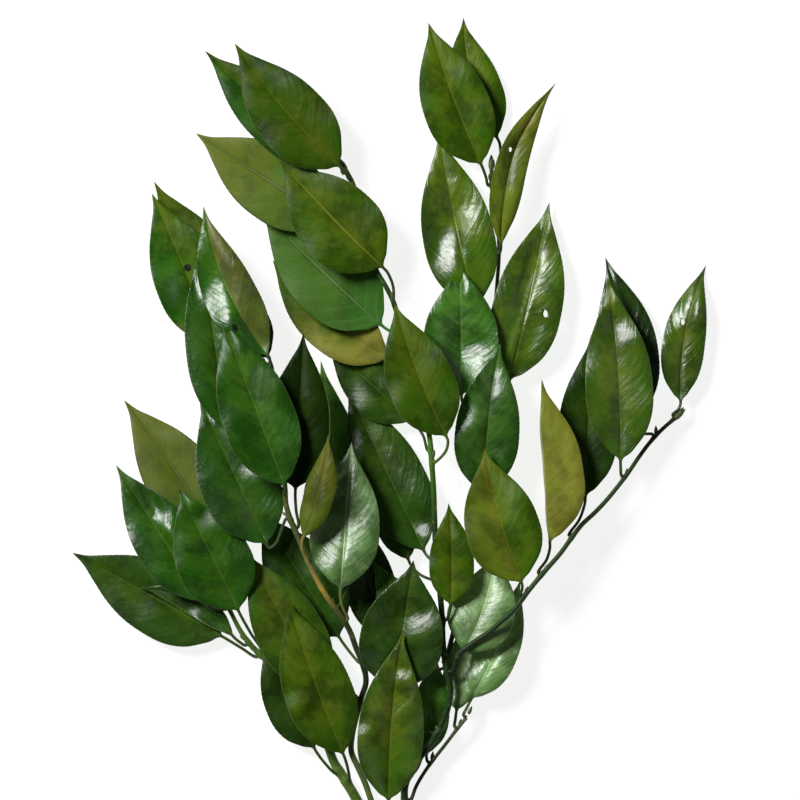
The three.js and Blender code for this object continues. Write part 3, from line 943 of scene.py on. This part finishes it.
# The change from the main colour to the second: where it fades in and how fine its noise is. On
# the face it comes sooner at the midrib than at the margin.
FACE_DRIFT = (0.45, 0.85)
FACE_DRIFT_SCALE = 34.0
FACE_DRIFT_OUTWARDS = -0.3
FACE_DRIFT_SOONER = 0.12
BACK_DRIFT = (0.40, 0.75)
BACK_DRIFT_SCALE = 30.0

# Patches laid over the colour, in order: how fine they are, their noise's detail and roughness,
# where they fade in, how strong they are, and in which colour.
FACE_PATCHES = (
    ((60.0, 4.0, 0.55, 0.43, 0.62), 0.75, "shadow"),
    ((85.0, 5.0, 0.65, 0.50, 0.68), 0.3, "rib"),
    ((190.0, 4.0, 0.55, 0.55, 0.75), 0.3, "second"),
)
BACK_PATCHES = (
    ((75.0, 4.0, 0.55, 0.45, 0.68), 0.35, "shadow"),
    ((420.0, 3.0, 0.55, 0.55, 0.72), 0.25, "shadow"),
)

# Bands by the share of the way out between which they fade, where two halves of a blade part
# across its width, and where the petiole's colour ends along it
FACE_RIB = (0.012, 0.04)
BACK_RIB = (0.01, 0.03)
BACK_RIB_SIDES = (0.03, 0.075)
# The face's band at the margin is painted shade: the leaves over and under it darken its edges.
FACE_EDGE_SHADE = (0.70, 1.0)
BACK_MARGIN = (0.93, 1.0)
# The pale line at the very edge is a painted highlight.
RIM_WIDTH = 0.05
HALVES_PART = (0.48, 0.52)
STALK_ENDS = (-0.01, 0.04)

# How dark the face's shadow colour is against its main: painted shade at margins, and dark mottle
SHADOW = 0.42

# Dark spots: the blade's width and length in their units, how far they fade, how ragged they are
SPOT_ACROSS, SPOT_ALONG = 15.0, 38.0
SPOT_FADE = 0.9
SPOT_RAGGED = 1.2

# Heights on the face, against the streaks' own. Where a noise is low the streaks and the grain keep
# their full height, and elsewhere STREAKS_LEAST of it.
GRAIN_HEIGHT = 0.06
UNEVEN_HEIGHT = 0.5
FURROW_HEIGHT = -0.13
STREAKS_FULL = (0.42, 0.62)
STREAKS_LEAST = 0.3
ROUGH_SPREAD = 0.24


def veins(paint, x, y, spot):
    """The share of the way out, the phase along the lateral veins, their lines and furrows."""
    v = paint.math("ABSOLUTE", paint.math("MULTIPLY_ADD", x, 2.0, -1.0))
    side = paint.math("SIGN", paint.math("SUBTRACT", x, 0.5))
    bend = paint.math("MULTIPLY", paint.math("POWER", v, 3.0), VEIN_BEND)
    slant = paint.math("MULTIPLY_ADD", v, VEIN_SLANT, bend)
    phase = paint.math("MULTIPLY", paint.math("SUBTRACT", y, slant), VEINS)
    phase = paint.math("MULTIPLY_ADD", side, VEIN_STAGGER, phase)
    wander = paint.noise(spot, VEIN_WANDER_SCALE, 2.0)
    phase = paint.math("MULTIPLY_ADD", wander, VEIN_WANDER, phase)
    off = paint.math("ABSOLUTE", paint.math("SUBTRACT", paint.math("FRACT", phase), 0.5))
    away = paint.math("SUBTRACT", 0.5, off)
    return v, phase, paint.below(0.0, VEIN_LINE, away), paint.below(0.0, VEIN_FURROW, away)


def streaks(paint, v, phase, seed):
    """Fine ridges that run beside the lateral veins."""
    across = paint.math("MULTIPLY", phase, STREAKS_PER_VEIN)
    along = paint.math("MULTIPLY", v, STREAK_BREAKS)
    return paint.noise(paint.vector(across, along, seed), 1.0, 2.0)


def spotted(paint, colour, spots, x, y, spot):
    """The colour with dark, ragged spots."""
    dark = rgb(24, 22, 12)
    for s, across, size in spots:
        away_x = paint.math("MULTIPLY", paint.math("SUBTRACT", x, 0.5 + 0.5 * across), SPOT_ACROSS)
        away_y = paint.math("MULTIPLY", paint.math("SUBTRACT", y, s), SPOT_ALONG)
        squares = paint.math("MULTIPLY_ADD", away_x, away_x, paint.math("MULTIPLY", away_y, away_y))
        ragged = paint.math("MULTIPLY_ADD", paint.noise(spot, 400.0, 2.0), SPOT_RAGGED, squares)
        inside = paint.below(0.5 * size, 0.5 * size + SPOT_FADE, ragged)
        colour = paint.mix(inside, colour, dark)
    return colour


def patched(paint, colour, patches, tones, spot):
    """The colour with patches of the given tones."""
    for patch, strength, tone in patches:
        colour = paint.over(colour, paint.patches(spot, patch), strength, tones[tone])
    return colour


def face_tones(paint, x, look):
    """A face's colours by name, changed on one half where it has one, and that half's mask."""
    main, second, rib = (rgb(*tone, look["value"]) for tone in TONES[look["tone"]])
    shadow = tuple(SHADOW * part for part in main[:3]) + (1.0,)
    other = 0.0
    if look["half"]:
        tone, side, value, _ = look["half"]
        other = paint.steps(*HALVES_PART, x if side > 0 else paint.math("SUBTRACT", 1.0, x))
        main = paint.mix(other, main, rgb(*TONES[tone][0], value))
        second = paint.mix(other, second, rgb(*TONES[tone][1], value))
        shadow = paint.mix(1 - SHADOW, main, rgb(0, 0, 0))
    return {"main": main, "second": second, "rib": rib, "shadow": shadow}, other


def face_height(paint, spot, streak, furrow):
    height = paint.math("MULTIPLY_ADD", paint.noise(spot, 900.0, 2.0), GRAIN_HEIGHT, streak)
    full = paint.below(*STREAKS_FULL, paint.noise(spot, 70.0, 2.0))
    share = paint.math("MULTIPLY_ADD", full, 1 - STREAKS_LEAST, STREAKS_LEAST)
    height = paint.math("MULTIPLY", height, share)
    height = paint.math("MULTIPLY_ADD", paint.noise(spot, 330.0, 3.0), UNEVEN_HEIGHT, height)
    return paint.math("MULTIPLY_ADD", furrow, FURROW_HEIGHT, height)


def face_material(node, look):
    """The glossy upper face of one leaf, with its petiole."""
    paint = Paint(node + "_face")
    x, y, spot = paint.surface()
    v, phase, line, furrow = veins(paint, x, y, spot)
    tones, other = face_tones(paint, x, look)
    rib, shadow = tones["rib"], tones["shadow"]
    dice = random.Random(node + "_face")
    spot = paint.shifted(spot, (dice.random(), dice.random(), dice.random()))
    slope, offset = look["drift"]
    share = paint.math("MULTIPLY_ADD", y, slope, paint.noise(spot, FACE_DRIFT_SCALE))
    share = paint.math("MULTIPLY_ADD", v, FACE_DRIFT_OUTWARDS, share)
    share = paint.math("ADD", share, offset + FACE_DRIFT_SOONER)
    colour = paint.mix(paint.steps(*FACE_DRIFT, share), tones["main"], tones["second"])
    # Painted shade: the face darkens towards its margins, where neighbouring leaves shade it.
    colour = paint.over(colour, paint.steps(*FACE_EDGE_SHADE, v), 0.5, shadow)
    colour = patched(paint, colour, FACE_PATCHES, tones, spot)
    streak = streaks(paint, v, phase, dice.random())
    colour = paint.over(colour, paint.steps(*FACE_STREAKS, streak), 0.22, shadow)
    colour = paint.over(colour, line, 0.12, rib)
    colour = paint.over(colour, paint.below(*FACE_RIB, v), look["rib"], rib)
    # Painted highlight: a pale line along the very edge, where the margin catches the light.
    rim = paint.steps(1 - RIM_WIDTH * look["rim"], 1.0, v)
    colour = paint.over(colour, rim, min(1.0, look["rim"]), rgb(136, 154, 92))
    colour = spotted(paint, colour, look["spots"], x, y, spot)
    colour = paint.mix(paint.below(*STALK_ENDS, y), colour, rgb(*look["stalk"]))
    patchy = paint.noise(spot, 150.0)
    rough = paint.math("MULTIPLY_ADD", patchy, ROUGH_SPREAD, look["rough"] - ROUGH_SPREAD / 2)
    if look["half"]:
        rough = paint.math("MULTIPLY_ADD", other, look["half"][3] - look["rough"], rough)
    paint.finish(colour, {
        "Roughness": rough, "Specular IOR Level": look["gloss"],
        "Coat Weight": look["coat"], "Coat Roughness": 0.25,
    })
    paint.bump(face_height(paint, spot, streak, furrow), 0.9, look["relief"] * MM)
    return paint.material


def back_material(name, look):
    """The matte, paler underside of a leaf, where the midrib stands out."""
    paint = Paint(name)
    x, y, spot = paint.surface()
    v, phase, line, furrow = veins(paint, x, y, spot)
    main, second, rib = (rgb(*tone, look["value"]) for tone in TONES[look["tone"]])
    shadow = rgb(44, 70, 20, look["value"])
    slope, offset = look["drift"]
    share = paint.math("MULTIPLY_ADD", y, slope, paint.noise(spot, BACK_DRIFT_SCALE))
    share = paint.math("ADD", share, offset)
    colour = paint.mix(paint.steps(*BACK_DRIFT, share), main, second)
    colour = patched(paint, colour, BACK_PATCHES, {"shadow": shadow}, spot)
    streak = streaks(paint, v, phase, 0.5)
    colour = paint.over(colour, paint.steps(*BACK_STREAKS, streak), 0.2, rib)
    colour = paint.over(colour, line, 0.3, rib)
    colour = paint.over(colour, paint.below(*BACK_RIB_SIDES, v), 0.55, shadow)
    colour = paint.over(colour, paint.below(*BACK_RIB, v), 0.7, rib)
    colour = paint.over(colour, paint.steps(*BACK_MARGIN, v), 0.5, shadow)
    colour = spotted(paint, colour, look["spots"], x, y, spot)
    rough = paint.math("MULTIPLY_ADD", streak, 0.2, 0.42)
    paint.finish(colour, {"Roughness": rough, "Specular IOR Level": 0.25})
    grain = paint.math("MULTIPLY", paint.noise(spot, 700.0), 0.25)
    paint.bump(paint.math("MULTIPLY_ADD", furrow, 0.5, grain), 0.5, 0.2 * MM)
    return paint.material


# The bark of each twig, as places along it and the colour there
BARKS = {
    "stem_main": ((0.0, (96, 126, 66)), (1.0, (88, 120, 58))),
    "stem_far_left": ((0.0, (72, 92, 34)), (0.3, (88, 118, 44)), (1.0, (84, 116, 46))),
    "stem_left": (
        (0.0, (104, 128, 66)), (0.22, (90, 110, 56)), (0.32, (30, 44, 24)), (0.46, (58, 72, 38)),
        (0.5, (112, 108, 50)), (0.53, (196, 162, 70)), (0.57, (146, 138, 72)), (0.64, (84, 94, 46)),
    ),
    "stem_centre": (
        (0.0, (66, 104, 32)), (0.12, (30, 62, 12)), (0.5, (26, 56, 10)), (0.6, (78, 124, 34)),
        (0.68, (84, 128, 38)), (0.78, (34, 66, 16)), (1.0, (56, 90, 26)),
    ),
    "stem_top": ((0.0, (34, 48, 26)), (0.6, (44, 58, 32)), (1.0, (64, 84, 40))),
    "stem_right": ((0.0, (26, 46, 18)), (0.4, (54, 80, 34)), (0.7, (50, 74, 30)), (1.0, (44, 60, 26))),
    "stem_lower": ((0.0, (60, 72, 50)), (1.0, (84, 98, 64))),
}

# How many bark fibres lie round a twig, and how long one is
FIBRES_ROUND = 9.0
FIBRE_LENGTH = 7 * MM

# Patches: how fine they are, their noise's detail and roughness, and where they fade in
# The bark's pale patches are partly the bark's own colour and partly painted highlights.
BARK_PALE_AND_HIGHLIGHT = (240.0, 3.0, 0.55, 0.58, 0.70)
BUD_PATCH = (500.0, 3.0, 0.55, 0.4, 0.65)
CUT_PATCH = (900.0, 4.0, 0.55, 0.35, 0.65)


def bark_material(node, length):
    """Green to brown bark with dark fibres along it and pale patches, partly painted highlights."""
    paint = Paint(node + "_bark")
    x, y, spot = paint.surface()
    ramp = paint.node("ShaderNodeValToRGB", {0: y})[0]
    stops = ramp.node.color_ramp.elements
    while len(stops) < len(BARKS[node]):
        stops.new(0.5)
    for stop, (share, tone) in zip(stops, BARKS[node]):
        stop.position = share
        stop.color = rgb(*tone)
    around = paint.math("MULTIPLY", x, FIBRES_ROUND)
    along = paint.math("MULTIPLY", y, length / FIBRE_LENGTH)
    fibre = paint.noise(paint.vector(around, along, 0.0), 2.0, 5.0, 0.6)
    dark, pale = rgb(30, 36, 20), rgb(146, 154, 92)
    colour = paint.over(ramp, paint.steps(0.5, 0.7, fibre), 0.5, dark)
    # Pale patches: partly bark colour, partly painted highlights.
    colour = paint.over(colour, paint.patches(spot, BARK_PALE_AND_HIGHLIGHT), 0.35, pale)
    paint.finish(colour, {"Roughness": 0.48, "Specular IOR Level": 0.25})
    paint.bump(fibre, 0.5, 0.2 * MM)
    return paint.material


def bud_material():
    """Green and brown bud scales with dark edges."""
    paint = Paint("bud")
    _, y, spot = paint.surface()
    green, brown, dark = rgb(92, 116, 52), rgb(84, 74, 44), rgb(60, 52, 30)
    colour = paint.mix(paint.patches(spot, BUD_PATCH), green, brown)
    scale = paint.math("FRACT", paint.math("MULTIPLY", y, BUD_SCALES))
    colour = paint.over(colour, paint.steps(0.75, 1.0, scale), 0.6, dark)
    paint.finish(colour, {"Roughness": 0.5})
    return paint.material


def cut_material():
    """Pale, grainy wood, as seen where a stem is cut."""
    paint = Paint("cut_wood")
    _, _, spot = paint.surface()
    pale, dark = rgb(196, 192, 140), rgb(160, 156, 100)
    colour = paint.mix(paint.patches(spot, CUT_PATCH), pale, dark)
    paint.finish(colour, {"Roughness": 0.75})
    return paint.material


# ---- The branch ----

paths = {node: read_twig(node) for node in TWIGS}
bark_paths = [centres for centres, _ in paths.values()]
petioles = [read_leaf(node)[0] for node in LEAVES]
bud, cut_wood = bud_material(), cut_material()
plain_back = back_material("leaf_back", usual("under_plain"))


def keep(obj, node):
    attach(obj, "root")
    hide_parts(node)


for node in TWIGS:
    bark = bark_material(node, lengths_along(paths[node][0])[-1])
    keep(build_twig(node, paths, petioles, [bark, bud, cut_wood]), node)

for node in LEAVES:
    look = LOOKS[node.removeprefix("leaf_")]
    back = back_material(node + "_back", look) if look["back"] else plain_back
    face = face_material(node, look)
    keep(build_leaf(node, look, [face, back], bark_paths), node)


# ---- Floor, light and camera ----

FLOOR_REACH = 4.0
FLOOR_BELOW = 0.2 * MM

# The softboxes: their place, their width and height, and their power in watts
SOFTBOXES = {
    "key": ((-2.4, 2.0, 3.0), (1.4, 1.4), 174),
    "right": ((1.1, 0.2, 1.2), (0.7, 0.9), 0.8),
    "front": ((0.1, -1.1, 1.5), (1.0, 0.6), 0.9),
}

# The side of the square in view, and its centre, as shares of the branch's length
VIEW_SIDE = 0.903
VIEW_CENTRE = (0.0123, 0.0676)
LENS, SENSOR = 900.0, 36.0


def build_floor():
    mesh = bpy.data.meshes.new("floor")
    far = FLOOR_REACH
    corners = [(-far, -far, 0), (far, -far, 0), (far, far, 0), (-far, far, 0)]
    mesh.from_pydata(corners, [], [(0, 1, 2, 3)])
    floor = bpy.data.objects.new("floor", mesh)
    bpy.context.scene.collection.objects.link(floor)
    floor.location.z = CAD_BOX[0].z - FLOOR_BELOW
    paint = Paint("floor")
    paint.finish((0.35, 0.35, 0.35, 1), {
        "Roughness": 1.0, "Specular IOR Level": 0.0,
        "Emission Color": (1, 1, 1, 1), "Emission Strength": 0.85,
    })
    mesh.materials.append(paint.material)


def build_softbox(name, place, size, power):
    lamp = bpy.data.lights.new(name, "AREA")
    lamp.shape = "RECTANGLE"
    lamp.size, lamp.size_y = size
    lamp.energy = power
    box = bpy.data.objects.new(name, lamp)
    box.location = place
    box.rotation_euler = (-Vector(place)).to_track_quat("-Z", "Y").to_euler()
    bpy.context.scene.collection.objects.link(box)


def build_sky():
    world = bpy.data.worlds.new("world")
    bpy.context.scene.world = world
    world.use_nodes = True
    sky = world.node_tree.nodes["Background"]
    sky.inputs["Color"].default_value = (0.95, 0.97, 1.0, 1)
    sky.inputs["Strength"].default_value = 0.02


def build_camera():
    length = CAD_BOX[1].y - CAD_BOX[0].y
    data = bpy.data.cameras.new("camera")
    data.lens, data.sensor_width = LENS, SENSOR
    data.clip_end = 100
    camera = bpy.data.objects.new("camera", data)
    distance = VIEW_SIDE * length * LENS / SENSOR
    x, y = (share * length for share in VIEW_CENTRE)
    camera.location = (x, y, distance + CAD_BOX[1].z / 2)
    bpy.context.scene.collection.objects.link(camera)
    bpy.context.scene.camera = camera


build_floor()
for name, (place, size, power) in SOFTBOXES.items():
    build_softbox(name, place, size, power)
build_sky()
bpy.context.scene.view_settings.view_transform = "Standard"
build_camera()
